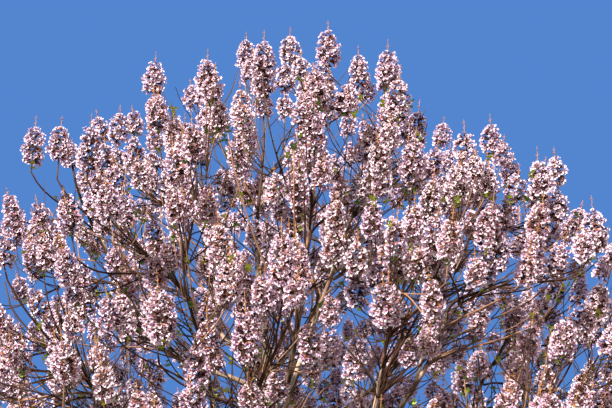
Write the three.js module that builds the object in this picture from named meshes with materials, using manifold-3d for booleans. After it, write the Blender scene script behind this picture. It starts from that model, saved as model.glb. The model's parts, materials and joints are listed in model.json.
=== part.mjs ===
// A paulownia tree in full blossom, before its leaves are out. A leaning trunk with a flared foot carries
// boughs that fork again, and each limb ends in a mass of twigs with upright panicles of trumpet flowers
// and pairs of young leaves.
// Millimetres, +Z up, origin at the centre of the flat cut under the trunk.

import * as THREE from "three";
import { mergeVertices } from "three/addons/utils/BufferGeometryUtils.js";
import Module from "manifold-3d";

const wasm = await Module();
wasm.setup();

const ACROSS = new THREE.Vector3(1, 0, 0);
const ALONG = new THREE.Vector3(0, 1, 0);
const UP = new THREE.Vector3(0, 0, 1);
const GOLDEN_ANGLE = Math.PI * (3 - Math.sqrt(5));
const SEED = 20261;
const SEAT_GAP = 0.3; // between two pieces that meet

// The crown: its middle, how far it reaches across and along, up and down, and its lowest panicle.
// How far it reaches up changes across it, which gives the broken skyline: a tall head, two shoulders.
const CROWN_MIDDLE = new THREE.Vector3(200, 0, 5300);
const CROWN_REACH = new THREE.Vector3(3700, 3500, 4000);
const CROWN_DROP = 2700;
const CROWN_BASE = 3050;
const CROWN_TOPS = [
  { x: -2900, reach: 4500 },
  { x: -2390, reach: 4600 },
  { x: -1700, reach: 4000 },
  { x: -1270, reach: 4280 },
  { x: 1030, reach: 4280 },
  { x: 1520, reach: 3600 },
  { x: 3000, reach: 3950 },
];

// The masses and the limbs' tips, as shares of the crown's reach from its middle
const MASS_COUNT = 29;
const MASS_SPAN = 1.42; // how much of the sphere the masses cover, 1 being its upper half
const MASS_TURN = 2.9;
const MASS_DEPTH = 0.78;
const TIP_DEPTH = 0.54;
const TIP_DROP = 650; // a bough's tip lies at least this far below the middle of its mass
const SHELL_START = 0.55; // panicles stand in the outer shell of the crown

// The trunk
const TRUNK = { top: 7500, radius: 182, tipRadius: 22, sides: 14, steps: 18, crowding: 1.5 };
const SWAY = { x: 300, waveX: 5200, y: -110, waveY: 6100 };
const FLARE = { width: 120, height: 240, lobes: 5, lobeDepth: 0.4 };

// The boughs. A foot's radius grows with the number of masses that the bough carries.
const BOUGH = { footRadius: 30, tipRadius: 19, carryPower: 0.42, taper: 1.25, mostOfParent: 0.78, crook: 0.11, stretches: 7 };
const BOUGH_GAP = 60; // the least free space round a bough's line
const BOUGH_FORKS = { trunkFrom: 0.3, trunkTo: 0.86, from: 0.2, to: 0.6, apart: 200 };
const BOUGH_RULE = { leastBend: 0.4, leastRise: 0.35, leastLength: 700, turnCost: 2, orderCost: 600 };

// The twigs, larger than life. Each is thinner than the one that it leaves, so its foot is sunk in it.
const SHOOT_SIDES = 4;
const TWIG = { stemRadius: 18, leastRadius: 6, mostOfParent: 0.66, taper: 0.8, gap: 30 };
const TWIG_FORKS = { from: 0.2, to: 0.85, stretch: 450, mostStretches: 3 };
const TWIG_RULE = { leastBend: 0, leastRise: -0.4, leastLength: 140, turnCost: 6, orderCost: 60 };
const STEM_RULE = { leastBend: 0.45, leastRise: -0.2, leastLength: 140, turnCost: 2, orderCost: 0 };
const HANDLE = 0.36; // how far a limb keeps its end directions, as a share of its length
const STEM_START = 90; // a stem's first stretch, which may be this near its own bough

// The panicle, larger than life: each stands for a spray of them
const PANICLE = { height: 640, radius: 245, lean: 0.2 };
const PANICLE_RINGS = [
  { up: 0.08, out: 1 },
  { up: 0.4, out: 0.62 },
  { up: 0.72, out: 0.26 },
  { up: 1, out: 0 },
];
const PANICLES_PER_MASS = 8;
const PANICLE_SPACING = { apart: 460, heightShare: 0.65 };
const DARTS_PER_MASS = 1500;
const DART_REACH = 1500;
const NODE_GAP = 8; // the least half gap between two masses
const SMOOTHING = 0.2; // the most that a mass's surface moves when its smallest faces are merged

// The young leaf, of which some shoots carry a pair
const LEAF = { length: 190, width: 88, thickness: 8, widest: 0.38, sink: 6, at: 0.62, stagger: 0.04, opposite: 2.8, rise: 0.55 };
const LEAFY_SHARE = 0.12;

// The tips of the shoots that stand up to the skyline: across, along and up
const SKYLINE = [
  [-2530, -850, 8490],
  [-2020, -2100, 7800],
  [-1620, -1250, 8390],
  [-1270, -1450, 8880],
  [-750, -1500, 8880],
  [-420, -550, 9670],
  [-180, -1950, 8820],
  [60, -1200, 9320],
  [430, -2100, 8830],
  [780, -550, 9500],
  [1030, -1550, 8960],
  [1720, -1700, 7980],
  [2120, -700, 8590],
  [2440, -1450, 7820],
  [2820, -350, 8380],
  [2830, -1850, 7110],
  [-1680, -2500, 7610],
];

// A stream of even chances from 0 to 1, the same on every run
function chancesFrom(seed) {
  let state = seed;
  return () => {
    state = (state * 48271) % 2147483647;
    return state / 2147483647;
  };
}

// How far up the crown reaches at a place across it
function reachUpAt(x) {
  const next = CROWN_TOPS.findIndex((top) => top.x > x);
  if (next === 0) return CROWN_TOPS[0].reach;
  if (next < 0) return CROWN_TOPS[CROWN_TOPS.length - 1].reach;
  const [low, high] = [CROWN_TOPS[next - 1], CROWN_TOPS[next]];
  return THREE.MathUtils.mapLinear(x, low.x, high.x, low.reach, high.reach);
}

// How far out a point lies: 0 in the crown's middle, 1 on its outline
function depthOf(point) {
  const out = point.clone().sub(CROWN_MIDDLE);
  const reach = out.z > 0 ? reachUpAt(point.x) : CROWN_DROP;
  return Math.hypot(out.x / CROWN_REACH.x, out.y / CROWN_REACH.y, out.z / reach);
}

// Evenly spread directions: each turns by the golden angle and lies an equal step lower
function massDirection(k) {
  const up = 1 - ((k + 0.5) / MASS_COUNT) * MASS_SPAN;
  const level = Math.sqrt(1 - up * up);
  const azimuth = k * GOLDEN_ANGLE + MASS_TURN;
  return new THREE.Vector3(level * Math.cos(azimuth), level * Math.sin(azimuth), up);
}

function pointAt(direction, share) {
  return direction.clone().multiply(CROWN_REACH).multiplyScalar(share).add(CROWN_MIDDLE);
}

const massCentres = Array.from({ length: MASS_COUNT }, (_, k) => pointAt(massDirection(k), MASS_DEPTH));

// A point keeps to mass k's space when it is nearer to that mass's centre than to any other's,
// with some room to spare before the plane halfway between the two
function keepsToMass(point, k, room) {
  const own = massCentres[k];
  return massCentres.every((other) => {
    if (other === own) return true;
    const beyond = point.distanceToSquared(other) - point.distanceToSquared(own);
    return beyond / (2 * own.distanceTo(other)) > room;
  });
}

// A limb's rings lie on its curve, and it is straight between them. These are even places along it,
// four to a stretch, with its direction at each.
function sampleLimb(line, stretches) {
  const places = [{ t: 0, point: line.getPoint(0), along: line.getTangent(0) }];
  for (let i = 0; i < stretches; i++) {
    const from = line.getPoint(i / stretches);
    const to = line.getPoint((i + 1) / stretches);
    const along = to.clone().sub(from).normalize();
    for (const share of [0.25, 0.5, 0.75, 1]) {
      places.push({ t: (i + share) / stretches, point: from.clone().lerp(to, share), along });
    }
  }
  return places;
}

// A limb's curve sets off in one direction, ends in another, and may be crooked between
function limbLine(from, startDirection, to, endDirection, crook) {
  const handle = from.distanceTo(to) * HANDLE;
  return new THREE.CubicBezierCurve3(
    from,
    from.clone().addScaledVector(startDirection, handle).add(crook),
    to.clone().addScaledVector(endDirection, -handle).sub(crook),
    to,
  );
}

// Every place that a limb could fork from to reach a target, the cheapest first.
// A fork costs its length, more if it turns sharply, and more the thinner the limb that it leaves.
function forksToward(target, limbs, rule) {
  const forks = [];
  for (const limb of limbs) {
    for (const sample of limb.samples) {
      if (sample.t < limb.forksFrom || sample.t > limb.forksTo) continue;
      const way = target.clone().sub(sample.point);
      const length = way.length();
      way.normalize();
      const bend = way.dot(sample.along);
      if (length < rule.leastLength || way.z < rule.leastRise || bend < rule.leastBend) continue;
      const cost = length * (1 + rule.turnCost * (1 - bend)) + rule.orderCost * limb.order;
      forks.push({ limb, sample, way, length, cost });
    }
  }
  return forks.sort((a, b) => a.cost - b.cost);
}

// How far a point is from a limb's bark
function clearanceOf(point, limb) {
  const stretch = new THREE.Line3();
  const nearest = new THREE.Vector3();
  return limb.samples.slice(1).reduce((least, sample, i) => {
    const before = limb.samples[i];
    stretch.set(before.point, sample.point).closestPointToPoint(point, true, nearest);
    return Math.min(least, nearest.distanceTo(point) - limb.radiusAt(before.t));
  }, Infinity);
}

function isClearOf(point, limbs, gap) {
  return limbs.every((limb) => clearanceOf(point, limb) > gap);
}

// The trunk's line sways a little as it rises
class TrunkLine extends THREE.Curve {
  getPoint(t) {
    const z = t * TRUNK.top;
    const x = SWAY.x * Math.sin((Math.PI * z) / SWAY.waveX);
    const y = SWAY.y * Math.sin((Math.PI * z) / SWAY.waveY);
    return new THREE.Vector3(x, y, z);
  }
}

function growTrunk() {
  const line = new TrunkLine();
  return {
    line,
    order: 0,
    carries: 1,
    samples: sampleLimb(line, 9),
    forksFrom: BOUGH_FORKS.trunkFrom,
    forksTo: BOUGH_FORKS.trunkTo,
    radiusAt: (t) => THREE.MathUtils.lerp(TRUNK.radius, TRUNK.tipRadius, t),
    endsIn: 0,
  };
}

// One bough to the foot of its mass, from the best fork that leaves it room
function growBough(k, limbs, chance) {
  const tip = pointAt(massDirection(k), TIP_DEPTH);
  tip.z = Math.min(tip.z, massCentres[k].z - TIP_DROP);
  const crooked = new THREE.Vector3(chance() - 0.5, chance() - 0.5, chance() - 0.5);
  for (const { limb, sample, way, length } of forksToward(tip, limbs, BOUGH_RULE)) {
    const feet = limbs.filter((other) => other.parent === limb).map((other) => other.fork.point);
    if (feet.some((foot) => foot.distanceTo(sample.point) < BOUGH_FORKS.apart)) continue;
    const start = way.clone().addScaledVector(sample.along, 0.7).normalize();
    const end = way.clone().addScaledVector(UP, 0.8).normalize();
    const line = limbLine(sample.point, start, tip, end, crooked.clone().multiplyScalar(length * BOUGH.crook));
    const samples = sampleLimb(line, BOUGH.stretches);
    if (!samples.slice(9).every(({ point }) => isClearOf(point, limbs, BOUGH_GAP))) continue;
    for (let carrier = limb; carrier; carrier = carrier.parent) carrier.carries += 1;
    return {
      line,
      samples,
      parent: limb,
      fork: sample,
      order: limb.order + 1,
      carries: 1,
      forksFrom: BOUGH_FORKS.from,
      forksTo: BOUGH_FORKS.to,
      radiusAt: () => BOUGH.footRadius,
      endsIn: k,
    };
  }
  throw new Error(`no fork leaves room for a bough to mass ${k}`);
}

// The trunk, then the boughs from the lowest mass to the highest
function growLimbs() {
  const chance = chancesFrom(SEED);
  const limbs = [growTrunk()];
  for (let k = MASS_COUNT - 1; k > 0; k--) limbs.push(growBough(k, limbs, chance));
  for (const bough of limbs.slice(1)) {
    const most = bough.parent.radiusAt(bough.fork.t) * BOUGH.mostOfParent;
    const foot = Math.min(BOUGH.footRadius * bough.carries ** BOUGH.carryPower, most);
    bough.radiusAt = (t) => THREE.MathUtils.lerp(foot, BOUGH.tipRadius, t ** BOUGH.taper);
  }
  return limbs;
}

// A panicle's radius at a share of its height
function panicleRadiusAt(up) {
  const above = Math.max(PANICLE_RINGS.findIndex((ring) => ring.up >= up), 1);
  const [low, high] = [PANICLE_RINGS[above - 1], PANICLE_RINGS[above]];
  return PANICLE.radius * THREE.MathUtils.mapLinear(Math.max(up, low.up), low.up, high.up, low.out, high.out);
}

// A panicle has room when its whole height keeps to its mass's space and is clear of the limbs
function panicleHasRoom(panicle, k, limbs) {
  return [0, 0.08, 0.24, 0.4, 0.55, 0.7, 0.85, 1].every((up) => {
    const point = panicle.foot.clone().addScaledVector(panicle.axis, up * PANICLE.height);
    const room = panicleRadiusAt(up) + NODE_GAP;
    return keepsToMass(point, k, room) && isClearOf(point, limbs, room);
  });
}

// Two panicles stand apart when their feet do, a difference in height counting for less
function standApart(one, other) {
  const between = one.foot.clone().sub(other.foot);
  return Math.hypot(between.x, between.y, between.z * PANICLE_SPACING.heightShare) > PANICLE_SPACING.apart;
}

function isInPanicle(point, { foot, axis }) {
  const out = point.clone().sub(foot);
  const up = out.dot(axis) / PANICLE.height;
  if (up < 0 || up > 1) return false;
  return out.addScaledVector(axis, -up * PANICLE.height).length() < panicleRadiusAt(up) + TWIG.gap;
}

// Panicles stand a little outward, and more so at the crown's sides
function panicleAxis(point) {
  const outward = point.clone().sub(CROWN_MIDDLE).setZ(0).divide(CROWN_REACH);
  return UP.clone().addScaledVector(outward, PANICLE.lean * 2).normalize();
}

// Where a mass's panicles stand: its shoots on the skyline, then seeded darts, the outermost first
function placePanicles(k, limbs, chance) {
  const onSkyline = SKYLINE.map(([x, y, z]) => {
    const tip = new THREE.Vector3(x, y, z);
    return { foot: tip.clone().addScaledVector(UP, -PANICLE.height), tip, axis: UP.clone() };
  });
  const darts = Array.from({ length: DARTS_PER_MASS }, () => {
    const throwOf = () => (chance() - 0.5) * 2 * DART_REACH;
    const foot = new THREE.Vector3(throwOf(), throwOf(), throwOf()).add(massCentres[k]);
    const axis = panicleAxis(foot);
    return { foot, axis, tip: foot.clone().addScaledVector(axis, PANICLE.height) };
  })
    .filter(({ foot, tip }) => foot.z > CROWN_BASE && depthOf(foot) > SHELL_START && depthOf(tip) < 1)
    .sort((a, b) => depthOf(b.tip) - depthOf(a.tip));
  const placed = [];
  for (const panicle of [...onSkyline, ...darts]) {
    if (placed.length === PANICLES_PER_MASS) break;
    if (!placed.every((other) => standApart(panicle, other))) continue;
    if (panicleHasRoom(panicle, k, limbs)) placed.push(panicle);
  }
  return placed;
}

// A twig from a fork to a panicle's foot
function twigFrom({ limb, sample, way, length }, panicle, radius) {
  const start = limb ? way.clone().addScaledVector(sample.along, 0.6).normalize() : sample.along;
  const end = way.clone().addScaledVector(panicle.axis, 0.9).normalize();
  const line = limbLine(sample.point, start, panicle.foot, end, new THREE.Vector3());
  const stretches = THREE.MathUtils.clamp(Math.round(length / TWIG_FORKS.stretch), 1, TWIG_FORKS.mostStretches);
  return {
    line,
    stretches,
    samples: sampleLimb(line, stretches),
    order: limb ? limb.order + 1 : 0,
    forksFrom: TWIG_FORKS.from,
    forksTo: TWIG_FORKS.to,
    radiusAt: (t) => THREE.MathUtils.lerp(radius, radius * TWIG.taper, t),
    panicle,
  };
}

// All of a mass's twigs, each to its panicle. The first is the stem, which goes on from the limb's tip to
// a panicle near and ahead. The rest fork off, the nearest first. A twig keeps to the mass's space, clear
// of the limbs, and runs past the other panicles rather than through them where it can.
function growMass(k, limbs) {
  const chance = chancesFrom(SEED + 7919 * (k + 1));
  const home = limbs.find((limb) => limb.endsIn === k);
  const onward = home.order ? home.line.getTangent(1) : UP;
  const seat = home.line.getPoint(1).addScaledVector(onward, SEAT_GAP);
  const panicles = placePanicles(k, limbs, chance);
  const others = limbs.filter((limb) => limb !== home);
  const hasRoom = ({ point }) =>
    keepsToMass(point, k, TWIG.gap) && isClearOf(point, point.distanceTo(seat) < STEM_START ? others : limbs, TWIG.gap);
  const passes = (twig) =>
    panicles.every((other) => other === twig.panicle || !twig.samples.some(({ point }) => isInPanicle(point, other)));

  const bud = { samples: [{ t: 0, point: seat, along: onward }], order: 0, forksFrom: 0, forksTo: 0 };
  const [stem] = panicles
    .flatMap((panicle) => forksToward(panicle.foot, [bud], STEM_RULE).map((fork) => ({ ...fork, panicle })))
    .sort((a, b) => a.cost - b.cost)
    .map(({ sample, way, length, panicle }) => twigFrom({ sample, way, length }, panicle, TWIG.stemRadius))
    .filter((twig) => twig.samples.every(hasRoom));
  const twigs = [stem];
  panicles.sort((a, b) => a.foot.distanceTo(seat) - b.foot.distanceTo(seat));
  for (const panicle of panicles) {
    if (panicle === stem.panicle) continue;
    const grown = forksToward(panicle.foot, twigs, TWIG_RULE)
      .map((fork) => {
        const radius = fork.limb.radiusAt(fork.sample.t) * TWIG.mostOfParent;
        return twigFrom(fork, panicle, Math.max(radius, TWIG.leastRadius));
      })
      .filter((twig) => twig.samples.every(hasRoom));
    const twig = grown.find(passes) ?? grown[0];
    if (twig) twigs.push(twig);
  }
  return { k, twigs, chance };
}

// A closed solid from a geometry, whose seams and poles become shared points
function solidFrom(geometry) {
  geometry.deleteAttribute("normal");
  geometry.deleteAttribute("uv");
  const welded = mergeVertices(geometry, 1e-3);
  const corners = welded.index.array;
  const faces = [];
  for (let i = 0; i < corners.length; i += 3) {
    const [a, b, c] = corners.slice(i, i + 3);
    if (a !== b && b !== c && c !== a) faces.push(a, b, c);
  }
  const vertProperties = new Float32Array(welded.attributes.position.array);
  return new wasm.Manifold(new wasm.Mesh({ numProp: 3, vertProperties, triVerts: new Uint32Array(faces) }));
}

function geometryFrom(solid) {
  const mesh = solid.getMesh();
  const geometry = new THREE.BufferGeometry();
  geometry.setAttribute("position", new THREE.BufferAttribute(new Float32Array(mesh.vertProperties), 3));
  geometry.setIndex(new THREE.BufferAttribute(new Uint32Array(mesh.triVerts), 1));
  geometry.computeVertexNormals();
  return geometry;
}

function largestPieceOf(solid) {
  return solid.decompose().reduce((largest, piece) => (piece.volume() > largest.volume() ? piece : largest));
}

// A bar through rings: a cylinder whose own rings, from the foot up, are moved to these places, square to
// their directions, with these radii. A ring of no radius closes to a point.
function barSolid(rings, sides) {
  const geometry = new THREE.CylinderGeometry(1, 1, 1, sides, rings.length - 1);
  const corner = geometry.attributes.position;
  const aside = Math.abs(rings[0].along.x) < 0.7 ? ACROSS : ALONG;
  for (let i = 0; i < corner.count; i++) {
    const { point, along, radius, turn } = rings[Math.round((corner.getY(i) + 0.5) * (rings.length - 1))];
    const over = aside.clone().cross(along).normalize();
    const side = along.clone().cross(over);
    const out = new THREE.Vector2(corner.getX(i), corner.getZ(i)).rotateAround(new THREE.Vector2(), -turn);
    const place = point.clone().addScaledVector(side, out.x * radius).addScaledVector(over, out.y * radius);
    corner.setXYZ(i, place.x, place.y, place.z);
  }
  return solidFrom(geometry);
}

function ringsAlong(limb, stretches, skin = 0) {
  return Array.from({ length: stretches + 1 }, (_, i) => {
    const t = i / stretches;
    return { point: limb.line.getPoint(t), along: limb.line.getTangent(t), radius: limb.radiusAt(t) + skin, turn: 0 };
  });
}

// The trunk: level rings, closer together near the ground, with a lobed root flare
function trunkSolid(trunk, skin = 0) {
  const geometry = new THREE.CylinderGeometry(1, 1, 1, TRUNK.sides, TRUNK.steps);
  const ring = geometry.attributes.position;
  for (let i = 0; i < ring.count; i++) {
    const t = (ring.getY(i) + 0.5) ** TRUNK.crowding;
    const point = trunk.line.getPoint(t);
    const angle = Math.atan2(ring.getZ(i), ring.getX(i));
    const lobe = 1 + FLARE.lobeDepth * Math.cos(FLARE.lobes * angle + 1);
    const radius = trunk.radiusAt(t) + FLARE.width * lobe * Math.exp(-point.z / FLARE.height) + skin;
    point.addScaledVector(ACROSS, ring.getX(i) * radius).addScaledVector(ALONG, -ring.getZ(i) * radius);
    ring.setXYZ(i, point.x, point.y, point.z);
  }
  return solidFrom(geometry);
}

// A bough's foot meets its parent's bark with a thin gap: the parent's sleeve is cut out of it.
// A sleeve's flats lie nearer than its corners, so its corners stand out a little more than the gap.
function boughSolid(bough) {
  const sidesOf = (limb) => (limb.carries > 2 ? 7 : 6);
  const body = barSolid(ringsAlong(bough, BOUGH.stretches), sidesOf(bough));
  const parent = bough.parent;
  const sides = parent.order ? sidesOf(parent) : TRUNK.sides;
  const skin = SEAT_GAP / Math.cos(Math.PI / sides);
  const sleeve = parent.order ? barSolid(ringsAlong(parent, BOUGH.stretches, skin), sides) : trunkSolid(parent, skin);
  return largestPieceOf(body.subtract(sleeve));
}

// A shoot is one bar: its twig, then the panicle as a cone in two tiers, whose rings are each turned
// half a step
function shootSolid({ line, stretches, radiusAt, panicle }) {
  const halfStep = Math.PI / SHOOT_SIDES;
  const tiers = PANICLE_RINGS.map(({ up, out }, i) => ({
    point: panicle.foot.clone().addScaledVector(panicle.axis, up * PANICLE.height),
    along: panicle.axis,
    radius: out * PANICLE.radius,
    turn: -halfStep * (i + 1),
  }));
  return barSolid([...ringsAlong({ line, radiusAt }, stretches), ...tiers], SHOOT_SIDES);
}

// A young leaf: an octahedron drawn out along its midrib, with its root in the shoot
function leafSolid(root, direction) {
  const geometry = new THREE.OctahedronGeometry(1);
  const corner = geometry.attributes.position;
  for (let i = 0; i < corner.count; i++) {
    const run = corner.getX(i) < 0 ? 0 : corner.getX(i) > 0 ? 1 : LEAF.widest;
    corner.setXYZ(i, run * LEAF.length, (corner.getY(i) * LEAF.width) / 2, (corner.getZ(i) * LEAF.thickness) / 2);
  }
  const side = UP.clone().cross(direction).normalize();
  const face = direction.clone().cross(side);
  geometry.applyMatrix4(new THREE.Matrix4().makeBasis(direction, side, face).setPosition(root));
  return solidFrom(geometry);
}

// The pair of leaves on one shoot, where they keep to the mass's space
function leafPair(twig, k, limbs, chance) {
  const azimuth = chance() * Math.PI * 2;
  return [0, 1].flatMap((second) => {
    const point = twig.line.getPoint(LEAF.at + second * LEAF.stagger);
    const turn = second * LEAF.opposite;
    const level = new THREE.Vector3(Math.cos(azimuth + turn), Math.sin(azimuth + turn), 0);
    const direction = level.addScaledVector(UP, LEAF.rise).normalize();
    const root = point.clone().addScaledVector(direction, -LEAF.sink);
    const fits = [0.38, 1].every((run) => {
      const place = root.clone().addScaledVector(direction, run * LEAF.length);
      const room = (run < 1 ? LEAF.width / 2 : 0) + NODE_GAP;
      return keepsToMass(place, k, room) && isClearOf(place, limbs, room);
    });
    return fits ? [leafSolid(root, direction)] : [];
  });
}

// A mass is one body: its twigs, panicles and leaves fused
function massSolid(mass, limbs) {
  const pieces = [];
  for (const twig of mass.twigs) {
    pieces.push(shootSolid(twig));
    if (mass.chance() < LEAFY_SHARE) pieces.push(...leafPair(twig, mass.k, limbs, mass.chance));
  }
  return largestPieceOf(wasm.Manifold.union(pieces)).asOriginal().simplify(SMOOTHING);
}

// Materials, after the photographed tree
const bark = new THREE.MeshStandardMaterial({ name: "bark", color: 0x8a7a70, roughness: 0.85, metalness: 0 });
const blossom = new THREE.MeshStandardMaterial({ name: "blossom", color: 0xb9a3b8, roughness: 0.7, metalness: 0 });

function nodeOf(name, solid, material) {
  const mesh = new THREE.Mesh(geometryFrom(solid), material);
  mesh.name = name;
  return mesh;
}

const tree = new THREE.Group();
tree.name = "paulownia_tree";
const limbs = growLimbs();
const [trunk, ...boughs] = limbs;
const numbered = (word, number) => `${word}_${String(number).padStart(2, "0")}`;
tree.add(nodeOf("trunk", trunkSolid(trunk), bark));
boughs.forEach((bough, i) => tree.add(nodeOf(numbered("bough", i + 1), boughSolid(bough), bark)));
for (let k = 0; k < MASS_COUNT; k++) {
  tree.add(nodeOf(numbered("blossom_mass", k + 1), massSolid(growMass(k, limbs), limbs), blossom));
}

export default tree;
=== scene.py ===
"""A paulownia tree in full blossom, before its leaves are out: a leaning trunk and its boughs in grey bark,
and a crown of upright panicles of lilac trumpet flowers on bare shoots. Metres, +Z up, with the origin at
the middle of the flat cut under the trunk."""

import copy
import json

import bpy
import numpy as np
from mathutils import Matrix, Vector

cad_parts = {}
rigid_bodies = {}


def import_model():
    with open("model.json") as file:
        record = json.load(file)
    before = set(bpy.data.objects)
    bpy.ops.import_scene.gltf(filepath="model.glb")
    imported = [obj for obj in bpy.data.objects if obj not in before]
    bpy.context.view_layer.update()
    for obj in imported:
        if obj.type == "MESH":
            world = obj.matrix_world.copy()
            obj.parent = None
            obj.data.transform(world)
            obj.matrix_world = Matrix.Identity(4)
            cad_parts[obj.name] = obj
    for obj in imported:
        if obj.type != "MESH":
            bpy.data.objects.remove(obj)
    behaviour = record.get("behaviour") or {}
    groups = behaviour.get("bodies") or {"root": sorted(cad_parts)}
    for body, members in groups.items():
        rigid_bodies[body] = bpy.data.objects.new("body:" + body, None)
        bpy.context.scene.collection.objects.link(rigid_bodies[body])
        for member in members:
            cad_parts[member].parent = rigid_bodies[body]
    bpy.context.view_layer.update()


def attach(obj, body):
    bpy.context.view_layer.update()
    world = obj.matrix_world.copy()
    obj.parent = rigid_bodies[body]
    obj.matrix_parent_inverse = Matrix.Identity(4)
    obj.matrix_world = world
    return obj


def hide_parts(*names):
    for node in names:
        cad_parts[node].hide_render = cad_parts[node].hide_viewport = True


norm = np.linalg.norm

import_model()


# The viewpoint is a person's eye on the ground in front of the tree, with a long lens turned up into the
# crown. Colours are shown as plain screen colours.
EYE = (0.22, -13.5, 1.6)
TURNED_UP = np.radians(25)
LENS = 82.9
SENSOR = 36
FAR_ENOUGH = 900

scene = bpy.context.scene
scene.view_settings.view_transform = "Standard"
viewer = bpy.data.objects.new("viewer", bpy.data.cameras.new("viewer"))
viewer.data.lens = LENS
viewer.data.sensor_width = SENSOR
viewer.data.clip_end = FAR_ENOUGH
viewer.location = EYE
viewer.rotation_euler = (np.pi / 2 + TURNED_UP, 0, 0)
scene.collection.objects.link(viewer)
scene.camera = viewer


# The studio: a wide pale floor, level with the cut under the trunk, a plain blue surround, a paler fill
# light from all round, one bright lamp high in front on the left, and a weaker, softer one from behind on
# the right.
FLOOR_HALF = 300
FLOOR_ROUGHNESS = 0.9
FLOOR_COLOUR = (106, 103, 99)
SURROUND_COLOUR = (84, 134, 208)
FILL_COLOUR = (172, 150, 160)
FILL_STRENGTH = 0.1
SUN_COLOUR = (255, 246, 232)
SUN_STRENGTH = 14.7
SUN_SHINES = (0.56, 0.64, -0.56)
SUN_WIDTH = np.radians(3)
BACK_COLOUR = (255, 242, 234)
BACK_STRENGTH = 6.6
BACK_SHINES = (-0.6, -0.6, -0.5)
BACK_WIDTH = np.radians(24)


def linear(colour):
    """A screen colour of 0 to 255 as amounts of light: (share + 0.055) / 1.055, to the power 2.4."""
    return (*((np.array(colour) / 255 + 0.055) / 1.055) ** 2.4, 1.0)


def finish_of(name, colour, roughness, specular=0.3):
    """A material of one base colour, to which a texture may be wired afterwards."""
    made = bpy.data.materials.new(name)
    made.use_nodes = True
    shader = made.node_tree.nodes["Principled BSDF"]
    shader.inputs["Base Color"].default_value = linear(colour)
    shader.inputs["Roughness"].default_value = roughness
    shader.inputs["Specular IOR Level"].default_value = specular
    return made


def node_in(tree, kind, inputs, **settings):
    """A new shader node's outputs. Its inputs are values or other nodes' outputs."""
    made = tree.nodes.new(f"ShaderNode{kind}")
    for name, value in settings.items():
        setattr(made, name, value)
    for name, value in inputs.items():
        if isinstance(value, bpy.types.NodeSocket):
            tree.links.new(value, made.inputs[name])
        else:
            made.inputs[name].default_value = value
    return made.outputs


def shown(name, points, faces, material, smooth=False):
    """An object of points (n, 3) and triangles (m, 3), at the origin, with its place in its mesh."""
    mesh = bpy.data.meshes.new(name)
    mesh.vertices.add(len(points))
    mesh.vertices.foreach_set("co", np.ascontiguousarray(points, dtype=np.float32).ravel())
    mesh.loops.add(faces.size)
    mesh.loops.foreach_set("vertex_index", np.ascontiguousarray(faces, dtype=np.int32).ravel())
    mesh.polygons.add(len(faces))
    mesh.polygons.foreach_set("loop_start", np.arange(0, faces.size, 3, dtype=np.int32))
    mesh.polygons.foreach_set("use_smooth", np.full(len(faces), smooth))
    mesh.materials.append(material)
    mesh.update(calc_edges=True)
    mesh.validate()
    piece = bpy.data.objects.new(name, mesh)
    scene.collection.objects.link(piece)
    return piece


corners = FLOOR_HALF * np.array([[-1, -1, 0], [1, -1, 0], [1, 1, 0], [-1, 1, 0]], dtype=float)
halves = np.array([[0, 1, 2], [0, 2, 3]])
floor = shown("floor", corners, halves, finish_of("floor", FLOOR_COLOUR, FLOOR_ROUGHNESS))

surround = bpy.data.worlds.new("surround")
surround.use_nodes = True
tree = surround.node_tree
lit = tree.nodes["Background"]
lit.inputs["Color"].default_value = linear(FILL_COLOUR)
lit.inputs["Strength"].default_value = FILL_STRENGTH
seen = node_in(tree, "Background", {"Color": linear(SURROUND_COLOUR)})[0]
ray = node_in(tree, "LightPath", {})["Is Camera Ray"]
either = node_in(tree, "MixShader", {"Fac": ray, 1: lit.outputs[0], 2: seen})[0]
tree.links.new(either, tree.nodes["World Output"].inputs["Surface"])
scene.world = surround
for name, colour, strength, shines, width in (
    ("front_lamp", SUN_COLOUR, SUN_STRENGTH, SUN_SHINES, SUN_WIDTH),
    ("back_lamp", BACK_COLOUR, BACK_STRENGTH, BACK_SHINES, BACK_WIDTH),
):
    lamp = bpy.data.objects.new(name, bpy.data.lights.new(name, "SUN"))
    lamp.data.energy = strength
    lamp.data.color = linear(colour)[:3]
    lamp.data.angle = width
    lamp.rotation_euler = Vector(shines).to_track_quat("-Z", "Y").to_euler()
    scene.collection.objects.link(lamp)


# The limbs' lines. The trunk sways a little as it rises to its tip, and each bough leaves a limb that was
# there before it, at the best fork that gives it room, and bends up to the foot of its mass of blossom.
SEED = 20261
ACROSS = np.array([1.0, 0.0, 0.0])
ALONG = np.array([0.0, 1.0, 0.0])
UP = np.array([0.0, 0.0, 1.0])
GOLDEN_ANGLE = np.pi * (3 - np.sqrt(5))
CROWN_MIDDLE = np.array([0.2, 0.0, 5.3])
CROWN_REACH = np.array([3.7, 3.5, 4.0])
CROWN_DROP = 2.7
CROWN_TOPS_AT = [-2.9, -2.39, -1.7, -1.27, 1.03, 1.52, 3.0]
CROWN_TOPS_REACH = [4.5, 4.6, 4.0, 4.28, 4.28, 3.6, 3.95]
MASS_COUNT = 29
MASS_SPAN = 1.42
MASS_TURN = 2.9
MASS_DEPTH = 0.78
TIP_DEPTH = 0.54
TIP_DROP = 0.65
TRUNK_TOP = 7.5
TRUNK_RADII = (0.182, 0.022)
TRUNK_CHORDS = 9
SWAY = {"x": 0.3, "wave_x": 5.2, "y": -0.11, "wave_y": 6.1}
BOUGH = {"foot": 0.03, "tip": 0.019, "carry": 0.42, "taper": 1.25, "most": 0.78}
BOUGH_LINE = {"crook": 0.11, "chords": 7, "leaving": 0.7, "arriving": 0.8}
BOUGH_GAP = 0.06
BOUGH_FREE_FROM = 9
FORKS_APART = 0.2
TRUNK_FORKS = (0.3, 0.86)
BOUGH_FORKS = (0.2, 0.6)
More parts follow.
